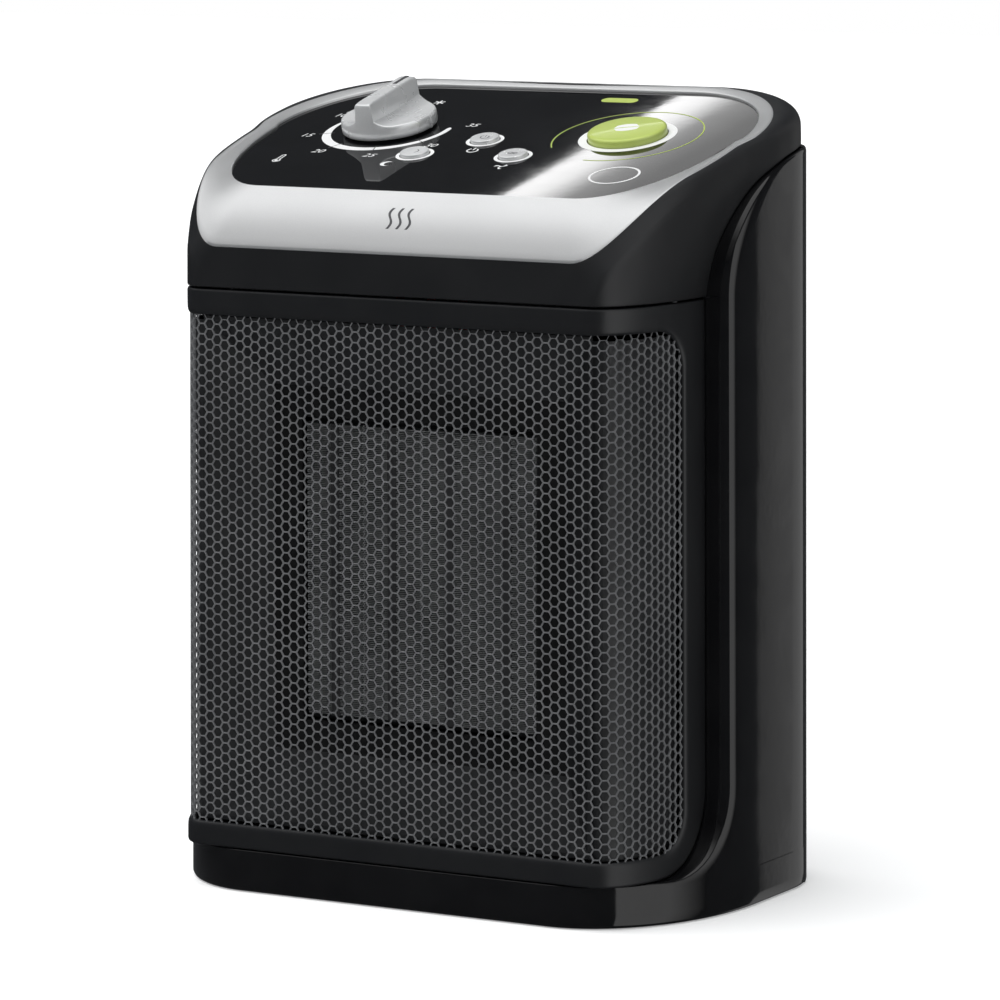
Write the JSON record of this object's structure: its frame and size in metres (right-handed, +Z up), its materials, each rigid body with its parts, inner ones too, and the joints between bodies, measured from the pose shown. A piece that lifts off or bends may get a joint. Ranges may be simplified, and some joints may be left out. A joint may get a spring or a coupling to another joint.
{
  "type": "ceramic space heater",
  "caption": "Upright ceramic space heater with a hex mesh grille, glossy wraparound sides and a sloping control panel with a thermostat knob and push buttons.",
  "frame": {"origin": "centre of the bounding box at floor level", "axes": "-Y out of the front grille, +X to the right seen from the front, +Z up"},
  "size_m": [0.206, 0.132, 0.2715],
  "materials": {
    "gloss_black": "high gloss black moulding",
    "satin_black": "fine texture",
    "matte_black": "fine spark texture",
    "satin_silver": "satin silver paint",
    "panel_black": "gloss black with printed scale and rings",
    "mesh_metal": "dark satin coated mesh",
    "inner_black": "moulded",
    "foot_rubber": "matte",
    "screw_steel": "zinc plated",
    "knob_silver": "satin silver paint",
    "pointer_grey": "dark inlay",
    "button_silver": "satin silver cap",
    "eco_green": "satin lime green",
    "pot_body": "moulded",
    "board_green": "solder mask",
    "relay_blue": "moulded",
    "core_steel": "laminated",
    "capacitor_yellow": "moulded",
    "heat_plastic": "glass filled",
    "ceramic_grey": "dark insulated heating bar",
    "fin_aluminium": "corrugated",
    "terminal_brass": "plain",
    "lead_red": "silicone sleeve",
    "cutout_white": "moulded",
    "duct_metal": "satin",
    "fan_grey": "moulded",
    "coil_copper": "enamelled winding",
    "bracket_steel": "pressed"
  },
  "bodies": {
    "heater_body": {"front_shell": "gloss_black", "back_shell": "satin_black", "base_plate": "satin_black", "head_cover": "matte_black", "bezel_ring": "satin_silver", "control_panel": "panel_black", "front_frame": "matte_black", "grille_mesh": "mesh_metal", "inner_deck": "inner_black", "rubber_feet": "foot_rubber", "base_screws": "screw_steel", "back_screws": "screw_steel", "deck_screws": "screw_steel", "cord_gland": "foot_rubber", "thermostat_pot": "pot_body", "tact_switches": "inner_black", "circuit_board": "board_green", "board_screws": "screw_steel", "relays": "relay_blue", "transformer": "core_steel", "capacitor": "capacitor_yellow", "room_sensor": "inner_black", "heater_frame": "heat_plastic", "ceramic_bars": "ceramic_grey", "cooling_fins": "fin_aluminium", "heater_terminals": "terminal_brass", "heater_leads": "lead_red", "thermal_cutout": "cutout_white", "cutout_bracket": "screw_steel", "outlet_duct": "duct_metal", "fan_shroud": "inner_black", "shroud_screws": "screw_steel", "motor_stator": "core_steel", "motor_coil": "coil_copper", "motor_brackets": "bracket_steel", "motor_bushes": "terminal_brass", "motor_screws": "screw_steel", "motor_leads": "inner_black", "terminal_block": "cutout_white", "tilt_switch": "cutout_white"},
    "thermostat_knob": {"thermostat_knob": "knob_silver", "knob_pointer": "pointer_grey", "knob_shaft": "screw_steel"},
    "fan_rotor": {"fan_impeller": "fan_grey", "motor_shaft": "screw_steel", "motor_rotor": "core_steel"},
    "silence_button": {"silence_button": "button_silver"},
    "standby_button": {"standby_button": "button_silver"},
    "turbo_button": {"turbo_button": "button_silver"},
    "eco_button": {"eco_button": "eco_green"}
  },
  "joints": [
    {"name": "thermostat_turn", "type": "hinge", "parent": "heater_body", "child": "thermostat_knob", "pos_m": [-0.045, 0.01172, 0.25384], "axis": [0, -0.2588, 0.9659], "range_deg": [0, 280]},
    {"name": "fan_spin", "type": "hinge", "parent": "heater_body", "child": "fan_rotor", "pos_m": [0, 0.01, 0.109], "axis": [0, 1, 0], "continuous": true},
    {"name": "silence_press", "type": "slide", "parent": "heater_body", "child": "silence_button", "axis": [0, 0.2588, -0.9659], "range_m": [0, 0.001], "stiffness_N_per_m": 400, "springref_m": -0.0005},
    {"name": "standby_press", "type": "slide", "parent": "heater_body", "child": "standby_button", "axis": [0, 0.2588, -0.9659], "range_m": [0, 0.001], "stiffness_N_per_m": 400, "springref_m": -0.0005},
    {"name": "turbo_press", "type": "slide", "parent": "heater_body", "child": "turbo_button", "axis": [0, 0.2588, -0.9659], "range_m": [0, 0.001], "stiffness_N_per_m": 400, "springref_m": -0.0005},
    {"name": "eco_press", "type": "slide", "parent": "heater_body", "child": "eco_button", "axis": [0, 0.2588, -0.9659], "range_m": [0, 0.001], "stiffness_N_per_m": 500, "springref_m": -0.0005}
  ]
}
